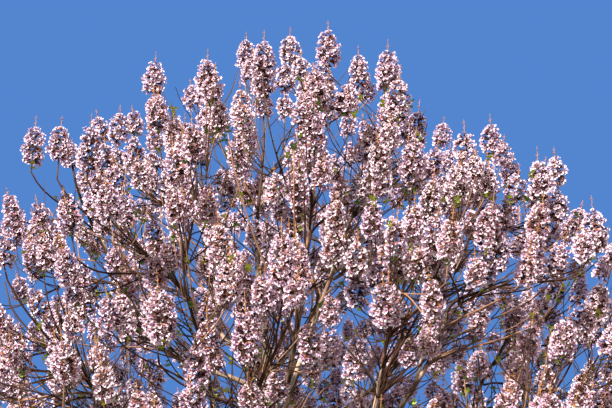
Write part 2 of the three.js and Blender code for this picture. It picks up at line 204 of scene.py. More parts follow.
BOUGH_RULE = {"bend": 0.4, "rise": 0.35, "length": 0.7, "turn_cost": 2, "order_cost": 0.6}
HANDLE = 0.36
CHORD_SAMPLES = 4
TANGENT_STEP = 1e-4


def chances_from(seed):
    """Even chances from 0 to 1: each state is the last one times 48271, modulo 2147483647."""
    while True:
        seed = seed * 48271 % 2147483647
        yield seed / 2147483647


def unit(way):
    return way / norm(way, axis=-1, keepdims=True)


def depth_of(points):
    """0 in the crown's middle and 1 on its outline: the offset from the middle, each way over its reach."""
    out = points - CROWN_MIDDLE
    reach_up = np.interp(points[..., 0], CROWN_TOPS_AT, CROWN_TOPS_REACH)
    reach_z = np.where(out[..., 2] > 0, reach_up, CROWN_DROP)
    level = np.hypot(out[..., 0] / CROWN_REACH[0], out[..., 1] / CROWN_REACH[1])
    return np.hypot(level, out[..., 2] / reach_z)


def masses_spread():
    """The masses' directions and centres: each turns by the golden angle and lies an equal step lower."""
    k = np.arange(MASS_COUNT)
    rise = 1 - (k + 0.5) / MASS_COUNT * MASS_SPAN
    level = np.sqrt(1 - rise**2)
    azimuth = k * GOLDEN_ANGLE + MASS_TURN
    ways = np.stack([level * np.cos(azimuth), level * np.sin(azimuth), rise], axis=1)
    return ways, CROWN_MIDDLE + MASS_DEPTH * CROWN_REACH * ways


def keeps_to_mass(points, k, room):
    """Points nearer to centre k than to any other, by room from the plane halfway between: the difference
    of the squared distances, over twice the distance between the centres."""
    squared = ((points[..., None, :] - mass_centres) ** 2).sum(-1)
    apart = norm(mass_centres - mass_centres[k], axis=1)
    apart[k] = 1
    beyond = (squared - squared[..., k, None]) / (2 * apart)
    beyond[..., k] = np.inf
    return (beyond > np.asarray(room)[..., None]).all(-1)


def curve_between(foot, leaving, tip, arriving, crook=0.0):
    """A cubic curve from foot to tip, by t from 0 to 1. Its handles are a set share of the distance long,
    with the crook added to the first and taken from the second."""
    handle = HANDLE * norm(tip - foot)
    knots = (foot, foot + handle * leaving + crook, tip - handle * arriving - crook, tip)

    def curve(t):
        t = np.asarray(t, dtype=float)[..., None]
        weights = ((1 - t) ** 3, 3 * t * (1 - t) ** 2, 3 * t**2 * (1 - t), t**3)
        return sum(weight * knot for weight, knot in zip(weights, knots))

    return curve


def trunk_curve(t):
    """Up to the trunk's top, with half waves across and along: sway times sin(pi z / wave)."""
    z = np.asarray(t, dtype=float) * TRUNK_TOP
    x = SWAY["x"] * np.sin(np.pi * z / SWAY["wave_x"])
    y = SWAY["y"] * np.sin(np.pi * z / SWAY["wave_y"])
    return np.stack([x, y, z], axis=-1)


def direction_on(curve, t):
    """The curve's direction at t, from two places just before and after it."""
    before, after = np.clip([t - TANGENT_STEP, t + TANGENT_STEP], 0, 1)
    return unit(curve(after) - curve(before))


def tapering(foot, tip, power=1.0):
    """A radius that goes from foot to tip as t to a power goes from 0 to 1."""
    return lambda t: foot + (tip - foot) * np.asarray(t, dtype=float) ** power


class Limb:
    """A limb's rings lie on its curve, and it is straight between them. Its samples are even places on
    those chords, each with its t along the curve and the chord's direction."""

    def __init__(self, curve, chords, radius, forks, order=0, parent=None, fork=0.0):
        rings = curve(np.linspace(0, 1, chords + 1))
        steps = np.diff(rings, axis=0)
        shares = np.arange(1, CHORD_SAMPLES + 1) / CHORD_SAMPLES
        between = rings[:-1, None] + shares[:, None] * steps[:, None]
        self.points = np.vstack([rings[:1], between.reshape(-1, 3)])
        self.along = np.vstack([direction_on(curve, 0.0), np.repeat(unit(steps), CHORD_SAMPLES, axis=0)])
        self.t = np.append(0.0, (np.arange(chords)[:, None] + shares) / chords)
        self.curve = curve
        self.radius = radius
        self.forks = forks
        self.order = order
        self.parent = parent
        self.fork = fork
        self.carries = 1


def clearance_of(points, limbs):
    """How far points are from the nearest bark: from the line of each sampled stretch, less its radius."""
    starts = np.vstack([limb.points[:-1] for limb in limbs])
    steps = np.vstack([np.diff(limb.points, axis=0) for limb in limbs])
    radii = np.concatenate([limb.radius(limb.t[:-1]) for limb in limbs])
    out = points[..., None, :] - starts
    share = np.clip((out * steps).sum(-1) / (steps**2).sum(-1), 0, 1)
    return (norm(out - share[..., None] * steps, axis=-1) - radii).min(-1)


def forks_toward(target, limbs, rule):
    """Every place that a limb could fork from to reach a target, the cheapest first. A fork costs its
    length, more for a sharp turn, and more the thinner the limb that it leaves."""
    found = []
    for limb in limbs:
        way = target - limb.points
        length = norm(way, axis=1)
        way = way / length[:, None]
        bend = (way * limb.along).sum(-1)
        cost = length * (1 + rule["turn_cost"] * (1 - bend)) + rule["order_cost"] * limb.order
        fits = (limb.t >= limb.forks[0]) & (limb.t <= limb.forks[1]) & (length >= rule["length"])
        fits &= (way[:, 2] >= rule["rise"]) & (bend >= rule["bend"])
        found += [(cost[i], limb, i, way[i], length[i]) for i in np.flatnonzero(fits)]
    return sorted(found, key=lambda fork: fork[0])


def grow_bough(k, limbs, chance):
    """One bough to the foot of mass k, from the best fork that leaves it room."""
    tip = CROWN_MIDDLE + TIP_DEPTH * CROWN_REACH * mass_ways[k]
    tip[2] = min(tip[2], mass_centres[k][2] - TIP_DROP)
    crooked = np.array([next(chance), next(chance), next(chance)]) - 0.5
    for _, limb, i, way, length in forks_toward(tip, limbs, BOUGH_RULE):
        foot = limb.points[i]
        siblings = [other.points[0] for other in limbs if other.parent is limb]
        if any(norm(other - foot) < FORKS_APART for other in siblings):
            continue
        leaving = unit(way + BOUGH_LINE["leaving"] * limb.along[i])
        arriving = unit(way + BOUGH_LINE["arriving"] * UP)
        curve = curve_between(foot, leaving, tip, arriving, crooked * length * BOUGH_LINE["crook"])
        radius = tapering(BOUGH["foot"], BOUGH["foot"])
        bough = Limb(curve, BOUGH_LINE["chords"], radius, BOUGH_FORKS, limb.order + 1, limb, limb.t[i])
        if (clearance_of(bough.points[BOUGH_FREE_FROM:], limbs) > BOUGH_GAP).all():
            return bough
    raise ValueError(f"no fork leaves room for a bough to mass {k}")


mass_ways, mass_centres = masses_spread()
trunk = Limb(trunk_curve, TRUNK_CHORDS, tapering(*TRUNK_RADII), TRUNK_FORKS)
limbs = [trunk]
bough_chance = chances_from(SEED)
for k in range(MASS_COUNT - 1, 0, -1):
    bough = grow_bough(k, limbs, bough_chance)
    limbs.append(bough)
    carrier = bough.parent
    while carrier:
        carrier.carries += 1
        carrier = carrier.parent
for bough in limbs[1:]:
    most = bough.parent.radius(bough.fork) * BOUGH["most"]
    foot = min(BOUGH["foot"] * bough.carries ** BOUGH["carry"], most)
    bough.radius = tapering(foot, BOUGH["tip"], BOUGH["taper"])


# Trunk and boughs: grey bark with shallow upright fissures, coarse on the old trunk and fine on the young
# boughs, over a lobed root flare at the foot and a swollen collar where each bough leaves its parent.
FLARE = {"width": 0.12, "height": 0.24, "lobes": 5, "depth": 0.4, "turn": 1}
TRUNK_GRID = (330, 132)
TRUNK_CROWDING = 1.35
BOUGH_GRID = (72, 20)
RIDGE_WIDTH = 0.032
RIDGE_LENGTH = 0.24
LEAST_RIDGES = 5
WAVER = {"count": 4, "length": 0.22, "reach": 1.6}
CRACKS = {"length": 0.07, "breaks": 0.35, "share": 0.2}
FISSURE_SHARE = 0.5
BARK_DEPTH = 0.06
BARK_LEVEL = 0.7
END_RELIEF = 0.5
COLLAR = {"swell": 0.42, "length": 1.5}
TRUNK_TINTS = ((130, 122, 113), (92, 79, 68))
BOUGH_TINTS = ((162, 142, 127), (104, 82, 67))
BARK_FISSURE = (46, 38, 33)
PORE_COLOUR = (150, 140, 128)
TRUNK_PORES = 40
BOUGH_PORES = 70
PATCHES = {"Scale": 7, "Detail": 5}
PATCH_STRETCH = (1, 1, 0.35)
PATCH_RANGE = (0.4, 0.64)
PORE_RANGE = (0.16, 0.1)
FISSURE_RANGE = (0.15, 0.75)
BARK_SURFACE = (0.85, 90, 0.002)
BARK_SPECULAR = 0.2
GRAIN_SPREAD = 0.3


def eased(share):
    return share * share * (3 - 2 * share)


def wrapped_noise(turn, run, count, seed):
    """Smooth noise from 0 to 1 that closes round a limb: random heights where turn, of count steps, and
    run are whole numbers, and eased blends between."""
    heights = np.random.default_rng(seed).random((count, int(run.max()) + 2))
    column = np.floor(turn).astype(int)
    row = np.floor(run).astype(int)
    aside, onward = eased(turn - column), eased(run - row)
    near, far = (
        heights[at % count, row] * (1 - onward) + heights[at % count, row + 1] * onward
        for at in (column, column + 1)
    )
    return near * (1 - aside) + far * aside


def bark_relief(turn, run, radius, seed):
    """The bark's height, 0 in a fissure and 1 on a ridge. A fissure runs where long noise crosses its
    middle, on lines that waver, and short noise roughens the ridges."""
    count = max(int(2 * np.pi * radius / RIDGE_WIDTH), LEAST_RIDGES)
    waver = wrapped_noise(turn * WAVER["count"], run / WAVER["length"], WAVER["count"], seed + 1) - 0.5
    ridges = wrapped_noise(turn * count + WAVER["reach"] * waver, run / RIDGE_LENGTH, count, seed + 2)
    broken = wrapped_noise(turn * count * 2, run / CRACKS["length"], count * 2, seed + 3)
    opened = np.clip(np.abs(ridges - 0.5) * 2 / FISSURE_SHARE + CRACKS["breaks"] * (broken - 0.5), 0, 1)
    return (1 - CRACKS["share"]) * eased(opened) + CRACKS["share"] * broken


def rings_round(paths, radii, sides):
    """Circles square to paths (n, rows, 3), of radius (n, rows) or (n, rows, sides), turning anticlockwise
    as seen from the path's end."""
    along = unit(np.gradient(paths, axis=1))
    aside = np.where(np.abs(along[:, :1, :1]) < 0.7, ACROSS, ALONG)
    over = unit(np.cross(aside, along))
    side = np.cross(over, along)
    angle = np.arange(sides) / sides * 2 * np.pi
    radii = radii if radii.ndim == 3 else radii[..., None]
    circle = side[:, :, None] * np.cos(angle)[:, None] + over[:, :, None] * np.sin(angle)[:, None]
    return paths[:, :, None] + radii[..., None] * circle


def skins_over(rings):
    """Closed skins over rings (n, rows, sides, 3): two triangles between each four neighbours, and at each
    end a fan to the middle of the last ring."""
    count, rows, sides = rings.shape[:3]
    here = np.arange(rows * sides).reshape(rows, sides)
    beside = np.roll(here, -1, axis=1)
    lower = np.stack([here[:-1], beside[:-1], beside[1:]], axis=-1).reshape(-1, 3)
    upper = np.stack([here[:-1], beside[1:], here[1:]], axis=-1).reshape(-1, 3)
    foot_fan = np.stack([beside[0], here[0], np.full(sides, rows * sides)], axis=-1)
    tip_fan = np.stack([here[-1], beside[-1], np.full(sides, rows * sides + 1)], axis=-1)
    faces = np.concatenate([lower, upper, foot_fan, tip_fan])
    ends = np.stack([rings[:, 0].mean(1), rings[:, -1].mean(1)], axis=1)
    points = np.concatenate([rings.reshape(count, -1, 3), ends], axis=1)
    stride = points.shape[1] * np.arange(count)
    return points.reshape(-1, 3), (faces + stride[:, None, None]).reshape(-1, 3)


def grain_group():
    """Fine uneven texture that the finishes share: noise on object coordinates sets how rough the surface
    is and tips its normal."""
    group = bpy.data.node_groups.new("fine_grain", "ShaderNodeTree")
    for name, way, kind in (
        ("Scale", "INPUT", "Float"), ("Relief", "INPUT", "Float"), ("Roughness", "INPUT", "Float"),
        ("Roughness", "OUTPUT", "Float"), ("Normal", "OUTPUT", "Vector"),
    ):
        group.interface.new_socket(name, in_out=way, socket_type=f"NodeSocket{kind}")

    def worked(operation, one, other):
        return node_in(group, "Math", {0: one, 1: other}, operation=operation)[0]

    given = group.nodes.new("NodeGroupInput").outputs
    made = group.nodes.new("NodeGroupOutput").inputs
    place = node_in(group, "TexCoord", {})["Object"]
    noise = node_in(group, "TexNoise", {"Vector": place, "Scale": given["Scale"]})["Fac"]
    spread = worked("MULTIPLY", worked("SUBTRACT", noise, 0.5), GRAIN_SPREAD)
    group.links.new(worked("ADD", spread, given["Roughness"]), made["Roughness"])
    bump = node_in(group, "Bump", {"Height": noise, "Distance": given["Relief"]})
    group.links.new(bump["Normal"], made["Normal"])
    return group


def add_grain(material, roughness, scale, relief=0.001):
    """Wires the fine grain onto a material's roughness and normal."""
    tree = material.node_tree
    values = {"Scale": scale, "Relief": relief, "Roughness": roughness}
    grain = node_in(tree, "Group", values, node_tree=fine_grain)
    for name in ("Roughness", "Normal"):
        tree.links.new(grain[name], tree.nodes["Principled BSDF"].inputs[name])


def grained(name, colour, roughness, *grain):
    """A material of one base colour with the fine grain."""
    made = finish_of(name, colour, roughness)
    add_grain(made, roughness, *grain)
    return made


def bark_finish(name, tints, pore_scale):
    """Bark: dark in the fissures by the mesh's own relief, in patches from pale grey to brown, with pale
    breathing pores as small spots, over the shared fine grain."""
    pale, brown = tints
    made = finish_of(name, pale, BARK_SURFACE[0], BARK_SPECULAR)
    tree = made.node_tree

    def ranged(value, limits):
        return node_in(tree, "MapRange", {"Value": value, "From Min": limits[0], "From Max": limits[1]})[0]

    def mixed(share, one, other):
        """A colour mix, whose inputs 0, 6 and 7 are the share and the two colours."""
        return node_in(tree, "Mix", {0: share, 6: one, 7: other}, data_type="RGBA")[2]

    place = node_in(tree, "TexCoord", {})["Object"]
    stretched = node_in(tree, "Mapping", {"Vector": place, "Scale": PATCH_STRETCH})[0]
    patches = node_in(tree, "TexNoise", {"Vector": stretched, **PATCHES})["Fac"]
    pores = node_in(tree, "TexVoronoi", {"Vector": place, "Scale": pore_scale})["Distance"]
    relief = node_in(tree, "Attribute", {}, attribute_name="relief")["Fac"]
    colour = mixed(ranged(patches, PATCH_RANGE), linear(pale), linear(brown))
    colour = mixed(ranged(pores, PORE_RANGE), colour, linear(PORE_COLOUR))
    colour = mixed(ranged(relief, FISSURE_RANGE), linear(BARK_FISSURE), colour)
    tree.links.new(colour, tree.nodes["Principled BSDF"].inputs["Base Color"])
    add_grain(made, *BARK_SURFACE)
    return made


def bark_piece(name, rings, relief, material, *nodes):
    """A limb's skin in place of the model's limb, with its relief as an attribute for the finish."""
    points, faces = skins_over(rings[None])
    piece = shown(name, points, faces, material, smooth=True)
    height = piece.data.attributes.new("relief", "FLOAT", "POINT")
    height.data.foreach_set("value", np.append(relief.ravel(), [END_RELIEF] * 2).astype(np.float32))
    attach(piece, "root")
    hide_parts(*nodes)


fine_grain = grain_group()
trunk_bark = bark_finish("trunk_bark", TRUNK_TINTS, TRUNK_PORES)
bough_bark = bark_finish("bough_bark", BOUGH_TINTS, BOUGH_PORES)

rows, sides = TRUNK_GRID
t = np.linspace(0, 1, rows) ** TRUNK_CROWDING
middle = trunk_curve(t)
turn = np.arange(sides) / sides
lobes = 1 + FLARE["depth"] * np.cos(FLARE["lobes"] * 2 * np.pi * turn + FLARE["turn"])
flare = FLARE["width"] * lobes * np.exp(-middle[:, 2:] / FLARE["height"])
relief = bark_relief(turn * np.ones((rows, 1)), middle[:, 2:] * np.ones(sides), TRUNK_RADII[0], SEED)
radius = trunk.radius(t)[:, None] * (1 + BARK_DEPTH * (relief - BARK_LEVEL)) + flare
level_ring = np.stack([np.cos(2 * np.pi * turn), np.sin(2 * np.pi * turn), np.zeros(sides)], axis=-1)
bark_piece("trunk_bark", middle[:, None] + radius[..., None] * level_ring, relief, trunk_bark, "trunk")

rows, sides = BOUGH_GRID
for number, bough in enumerate(limbs[1:], start=1):
    t = np.linspace(0, 1, rows)
    path = bough.curve(t)
    run = np.append(0, np.cumsum(norm(np.diff(path, axis=0), axis=1)))
    turn = np.arange(sides) / sides * np.ones((rows, 1))
    relief = bark_relief(turn, run[:, None] * np.ones(sides), bough.radius(0.0), SEED + 10 * number)
    from_bark = (run - bough.parent.radius(bough.fork)) / (COLLAR["length"] * bough.radius(0.0))
    collar = 1 + COLLAR["swell"] * np.exp(-(from_bark**2))
    radius = (bough.radius(t) * collar)[:, None] * (1 + BARK_DEPTH * (relief - BARK_LEVEL))
    rings = rings_round(path[None], radius[None], sides)[0]
    bark_piece(f"bough_bark_{number:02d}", rings, relief, bough_bark, f"bough_{number:02d}")


# Where the sprays stand. Each mass of the crown keeps to its own space: panicle places in the crown's outer
# shell, first those up at the skyline, and a twig to each from the stem that goes on from the bough's tip.
CROWN_BASE = 3.05
SHELL_START = 0.55
SEAT_GAP = 0.0003
SPRAY = {"height": 0.64, "radius": 0.245, "lean": 0.2}
SPRAY_UP = [0.08, 0.4, 0.72, 1]
SPRAY_OUT = [1, 0.62, 0.26, 0]
ROOM_TESTS = np.array([0, 0.08, 0.24, 0.4, 0.55, 0.7, 0.85, 1])
SPRAYS_PER_MASS = 8
SPRAY_SPACING = (1, 1, 0.65)
SPRAYS_APART = 0.46
DARTS_PER_MASS = 1500
DART_REACH = 1.5
NODE_GAP = 0.008
TWIG = {"stem": 0.018, "least": 0.006, "most": 0.66, "taper": 0.8, "gap": 0.03}
TWIG_LINE = {"leaving": 0.6, "arriving": 0.9}
TWIG_FORKS = (0.2, 0.85)
TWIG_CHORD = 0.45
MOST_CHORDS = 3
TWIG_RULE = {"bend": 0, "rise": -0.4, "length": 0.14, "turn_cost": 6, "order_cost": 0.06}
STEM_RULE = {"bend": 0.45, "rise": -0.2, "length": 0.14, "turn_cost": 2, "order_cost": 0}
STEM_START = 0.09
BUD_LENGTH = 1e-6
MASS_SEED_STEP = 7919
SKYLINE = np.array([
    [-2.53, -0.85, 8.49], [-2.02, -2.1, 7.8], [-1.62, -1.25, 8.39], [-1.27, -1.45, 8.88],
    [-0.75, -1.5, 8.88], [-0.42, -0.55, 9.67], [-0.18, -1.95, 8.82], [0.06, -1.2, 9.32], [0.43, -2.1, 8.83],
    [0.78, -0.55, 9.5], [1.03, -1.55, 8.96], [1.72, -1.7, 7.98], [2.12, -0.7, 8.59], [2.44, -1.45, 7.82],
    [2.82, -0.35, 8.38], [2.83, -1.85, 7.11], [-1.68, -2.5, 7.61],
])


def spray_radius(up):
    return SPRAY["radius"] * np.interp(up, SPRAY_UP, SPRAY_OUT)


def leaning_up(points):
    """Panicles stand a little outward, and more so at the crown's sides."""
    outward = (points - CROWN_MIDDLE) / CROWN_REACH * (1, 1, 0)
    return unit(UP + 2 * SPRAY["lean"] * outward)


def place_sprays(k, chance):
    """Feet and axes of mass k's sprays: those on the skyline, then seeded darts, the outermost first,
    each apart from those before it and with room for its whole height."""
    throws = np.array([next(chance) for _ in range(3 * DARTS_PER_MASS)]).reshape(-1, 3)
    feet = (throws - 0.5) * 2 * DART_REACH + mass_centres[k]
    axes = leaning_up(feet)
    dart_tips = feet + axes * SPRAY["height"]
    inside = (feet[:, 2] > CROWN_BASE) & (depth_of(feet) > SHELL_START) & (depth_of(dart_tips) < 1)
    feet, axes, dart_tips = feet[inside], axes[inside], dart_tips[inside]
    order = np.argsort(-depth_of(dart_tips), kind="stable")
    feet = np.vstack([SKYLINE - SPRAY["height"] * UP, feet[order]])
    axes = np.vstack([np.tile(UP, (len(SKYLINE), 1)), axes[order]])
    room = spray_radius(ROOM_TESTS) + NODE_GAP
    placed = []
    for foot, axis in zip(feet, axes):
        if len(placed) == SPRAYS_PER_MASS:
            break
        if any(norm((foot - other) * SPRAY_SPACING) <= SPRAYS_APART for other, _ in placed):
            continue
        points = foot + ROOM_TESTS[:, None] * SPRAY["height"] * axis
        if keeps_to_mass(points, k, room).all() and (clearance_of(points, limbs) > room).all():
            placed.append((foot, axis))
    return placed


def in_spray(points, foot, axis):
    out = points - foot
    up = out @ axis / SPRAY["height"]
    aside = norm(out - up[:, None] * SPRAY["height"] * axis, axis=1)
    return (up >= 0) & (up <= 1) & (aside < spray_radius(up) + TWIG["gap"])


def twig_between(point, leaving, way, length, foot, axis, radius, order):
    """A twig that sets off in its leaving direction and arrives at a panicle's foot between its way there
    and the panicle's axis."""
    curve = curve_between(point, leaving, foot, unit(way + TWIG_LINE["arriving"] * axis))
    chords = int(np.clip(np.floor(length / TWIG_CHORD + 0.5), 1, MOST_CHORDS))
    return Limb(curve, chords, tapering(radius, radius * TWIG["taper"]), TWIG_FORKS, order)


def has_room(twig, k, seat, others):
    """A twig keeps to its mass's space, clear of the limbs, its own bough aside near the seat."""
    near = norm(twig.points - seat, axis=1) < STEM_START
    clear = np.where(near, clearance_of(twig.points, others), clearance_of(twig.points, limbs))
    return keeps_to_mass(twig.points, k, TWIG["gap"]).all() and (clear > TWIG["gap"]).all()


def grow_mass(k):
    """Mass k's twigs, each with its spray's foot and axis: the stem first, to a spray near and ahead, then
    the others, the nearest first, past the other sprays where they can."""
    home = limbs[MASS_COUNT - k] if k else trunk
    onward = direction_on(home.curve, 1.0) if k else UP
    seat = home.curve(1.0) + SEAT_GAP * onward
    others = [limb for limb in limbs if limb is not home]
    sprays = place_sprays(k, chances_from(SEED + MASS_SEED_STEP * (k + 1)))

    bud = Limb(lambda t: seat + np.asarray(t)[..., None] * BUD_LENGTH * onward, 1, tapering(0, 0), (0, 0))
    stems = [(fork, spray) for spray in sprays for fork in forks_toward(spray[0], [bud], STEM_RULE)]
    for (_, _, _, way, length), spray in sorted(stems, key=lambda pair: pair[0][0]):
        stem = twig_between(seat, onward, way, length, *spray, TWIG["stem"], 0)
        if has_room(stem, k, seat, others):
            break
    stem.spray = spray
    twigs = [stem]
    for spray in sorted(sprays, key=lambda spray: norm(spray[0] - seat)):
        if spray is stem.spray:
            continue
        grown = []
        for _, limb, i, way, length in forks_toward(spray[0], twigs, TWIG_RULE):
            radius = max(limb.radius(limb.t[i]) * TWIG["most"], TWIG["least"])
            leaving = unit(way + TWIG_LINE["leaving"] * limb.along[i])
            twig = twig_between(limb.points[i], leaving, way, length, *spray, radius, limb.order + 1)
            if not has_room(twig, k, seat, others):
                continue
            twig.spray = spray
            grown.append(twig)
            if not any(in_spray(twig.points, *other).any() for other in sprays if other is not spray):
                twigs.append(twig)
                break
        else:
            twigs += grown[:1]
    return twigs


mass_twigs = [grow_mass(k) for k in range(MASS_COUNT)]


# The finer shoots. Where the model has one panicle, the real shoot ends in a spray: a tall panicle on top
# and up to four smaller ones below it on side shoots, and single shoots fill the spaces between the sprays.
rng = np.random.default_rng(SEED)
TOP_HEIGHT = (0.38, 0.56)
SIDE_HEIGHT = (0.28, 0.44)
SIDE_OUT = (0.11, 0.18)
SIDE_DROP = (-0.34, 0.06)
SIDE_RISE = 0.12
SIDE_SWING = 0.35
SIDE_LEAN = 0.22
SIDE_LEANS = (0.5, 1.3)
SIDE_SHARE = 0.68
LONE_SHARE = 0.25
SIDE_FORK = (0.12, 0.26)
SIDE_FORK_FAR = (0.5, 1.2)
SIDE_FORK_LEAST = 0.15
SIDE_ROOM = 0.06
SIDE_RADIUS = 0.006
BASE_ROOM = 0.1
FILL_PER_MASS = 40
FILL_DARTS = 2500
FILL_APART = 0.385
FILL_DEPTHS = (0.45, 0.93, 0.88)
TOP_FROM = 6.9
FILL_RADIUS = 0.0075
FILL_RULE = {"bend": -0.2, "rise": -0.2, "length": 0.2, "turn_cost": 3, "order_cost": 0.1}
PICTURE = np.array([612, 408])
FULL_PLACES = [
    (566, 208), (592, 222), (604, 248), (438, 162), (441, 130), (14, 204), (22, 222), (136, 118),
    (102, 127), (285, 102), (215, 62), (611, 216), (15, 188), (185, 110), (567, 186), (513, 190), (70, 188),
    (193, 92), (365, 114), (154, 159), (122, 140), (348, 96), (350, 150), (447, 156), (335, 164),
    (375, 350), (247, 252), (526, 294),
]
FULL_AT = [0, 70, 100, 150, 230, 330, 400, 450, 500, 560, 612]
FULL_BELOW = [215, 205, 150, 125, 105, 95, 120, 150, 175, 195, 235]
FULL_STEP = 12
FULL_DROP = 14
HOLE_RADIUS = {"listed": 9, "grid": 12}
SEEN_UP = (0.2, 0.45, 0.7)
FULL_FROM = (2.8, -3.2)
FULL_STEPS = 40
FULL_DEPTHS = (0.45, 0.94)
OPEN_PLACES = [
    (42, 181), (35, 162), (53, 162), (71, 168), (50, 199), (200, 165), (341, 65), (174, 90), (185, 321),
    (237, 69), (55, 285), (101, 269), (530, 178), (278, 137), (18, 318), (172, 300), (334, 132), (260, 142),
    (222, 144), (185, 253), (187, 274), (2, 277), (460, 283), (417, 301), (241, 320), (230, 370), (41, 374),
    (169, 360), (167, 375), (567, 375), (496, 396), (84, 398), (61, 407), (230, 392), (424, 108),
    (578, 184), (30, 158),
]
OPEN_RADIUS = 14
OPEN_MIDDLE = 12
MIDDLE_DOWN = 0.6
BARE_SHOOTS = {
    "leader": {"count": (3, 6), "radii": (0.016, 0.007), "depths": (0.78, 0.94, 0.94), "length": 2.4},
    "fine": {"count": (24, 64), "radii": (0.0085, 0.004), "depths": (0.2, 0.94, 0.94), "length": 1.3},
}
BARE_RULE = {"bend": 0.3, "rise": 0.35, "length": 0.4, "turn_cost": 4, "order_cost": 0}
BARE_ARCH = {"leader": 1.1, "fine": 0.5}
BARE_LINE = {"leaving": 0.4, "arriving": 0.5}
BARE_SPRAY = 6
WOOD_SHARE = 0.8
BEARING = (0.25, 1.0)
TRUNK_BEARING = (0.44, 1.0)
BEARING_CHORDS = 9
LENS_PIXELS = LENS / SENSOR * PICTURE[0]
VIEW_AHEAD = np.array([0, np.cos(TURNED_UP), np.sin(TURNED_UP)])
VIEW_UP = np.array([0, -np.sin(TURNED_UP), np.cos(TURNED_UP)])


def seen_at(place, y):
    """The point at a distance y whose image in the picture is at a place, by the viewpoint's own lens."""
    across, down = (place - PICTURE / 2) / LENS_PIXELS
    way = VIEW_AHEAD + across * ACROSS - down * VIEW_UP
    return EYE + way * (y - EYE[1]) / way[1]


def places_of(points):
    """Where points are in the picture: their offsets across and down over their distance ahead."""
    out = points - EYE
    ahead = out @ VIEW_AHEAD
    level = np.stack([out[:, 0] / ahead, -(out @ VIEW_UP) / ahead], axis=1)
    return level * LENS_PIXELS + PICTURE / 2


def has_space(foot, axis, height, k=None):
    """Whether a panicle keeps to its mass, where it has one, clear of the limbs, inside the crown, and out
    of the places where the picture shows sky."""
    line = foot + np.array([[0.0], [0.5], [1.0]]) * height * axis
    inside = depth_of(line[2]) < 1 and foot[2] > CROWN_BASE - BASE_ROOM
    closed = norm(places_of(line)[:, None] - OPEN_PLACES, axis=2).min() > OPEN_RADIUS
    kept = k is None or keeps_to_mass(line, k, SIDE_ROOM).all()
    return inside and closed and kept and (clearance_of(line, limbs) > SIDE_ROOM).all()


def stands_in_sky(foot, axis, height):
    """Whether a panicle that isn't on the skyline has its middle where the picture shows sky."""
    on_skyline = norm(SKYLINE - SPRAY["height"] * axis - foot, axis=1).min() < SIDE_ROOM
    middle = foot + (SPRAY["height"] - MIDDLE_DOWN * height) * axis
    return not on_skyline and norm(places_of(middle[None]) - OPEN_PLACES, axis=1).min() < OPEN_MIDDLE


def side_shoots(twig, k, spray):
    """Up to four side shoots under a spray's top panicle, and none under a lone one. Half of them leave the
    shoot just below their panicles, and half run up beside it from far down."""
    foot, axis = twig.spray
    if rng.random() < LONE_SHARE:
        return
    spin = rng.uniform(0, 2 * np.pi)
    drop = rng.uniform(*SIDE_DROP)
    length = norm(np.diff(twig.points, axis=0), axis=1).sum()
    for quarter in range(4):
        azimuth = spin + quarter * np.pi / 2 + rng.uniform(-SIDE_SWING, SIDE_SWING)
        out = np.array([np.cos(azimuth), np.sin(azimuth), 0])
        rise = drop + rng.uniform(-SIDE_RISE, SIDE_RISE)
        side_foot = foot + rng.uniform(*SIDE_OUT) * out + rise * UP
        side_axis = unit(axis + SIDE_LEAN * rng.uniform(*SIDE_LEANS) * out)
        height = rng.uniform(*SIDE_HEIGHT)
        back = rng.uniform(*(SIDE_FORK if rng.random() < 0.5 else SIDE_FORK_FAR)) - min(rise, 0)
        if rng.random() > SIDE_SHARE or not has_space(side_foot, side_axis, height, k):
            continue
        t = max(1 - back / length, SIDE_FORK_LEAST)
        point = twig.curve(t)
        way = unit(side_foot - point)
        leaving = unit(way + 0.5 * direction_on(twig.curve, t))
        curve = curve_between(point, leaving, side_foot, unit(way + side_axis))
        side_twigs.append((curve, SIDE_RADIUS * 1.3, SIDE_RADIUS, spray))
        panicles.append((side_foot, side_axis, height, spray))


def limbs_in(k):
    """The stretches of limbs inside mass k's space, as limbs that its shoots may leave."""
    found = []
    for limb in bearing_limbs:
        inside = keeps_to_mass(limb.points, k, 0)
        stretch = copy.copy(limb)
        stretch.points, stretch.along, stretch.t = limb.points[inside], limb.along[inside], limb.t[inside]
        found.append(stretch)
    return found


def fill_shoot(foot, bearers, k=None):
    """A single shoot with its panicle at a foot, from the nearest twig or limb, where it has space."""
    axis = leaning_up(foot)
    height = rng.uniform(*SIDE_HEIGHT)
    if not has_space(foot, axis, height, k):
        return False
    forks = forks_toward(foot, bearers, FILL_RULE)
    if not forks:
        return False
    _, limb, i, way, _ = forks[0]
    leaving = unit(way + TWIG_LINE["leaving"] * limb.along[i])
    curve = curve_between(limb.points[i], leaving, foot, unit(way + TWIG_LINE["arriving"] * axis))
    radius = min(FILL_RADIUS, limb.radius(limb.t[i]) * WOOD_SHARE)
    side_twigs.append((curve, radius * 1.15, radius * 0.8, len(sprays_shown)))
    panicles.append((foot, axis, height, len(sprays_shown)))
    sprays_shown.append(foot)
    return True


def seen_places(some):
    """Where panicles show in the picture: three places up each one's open flowers."""
    points = [foot + up * height * axis for foot, axis, height, _ in some for up in SEEN_UP]
    return places_of(np.array(points))


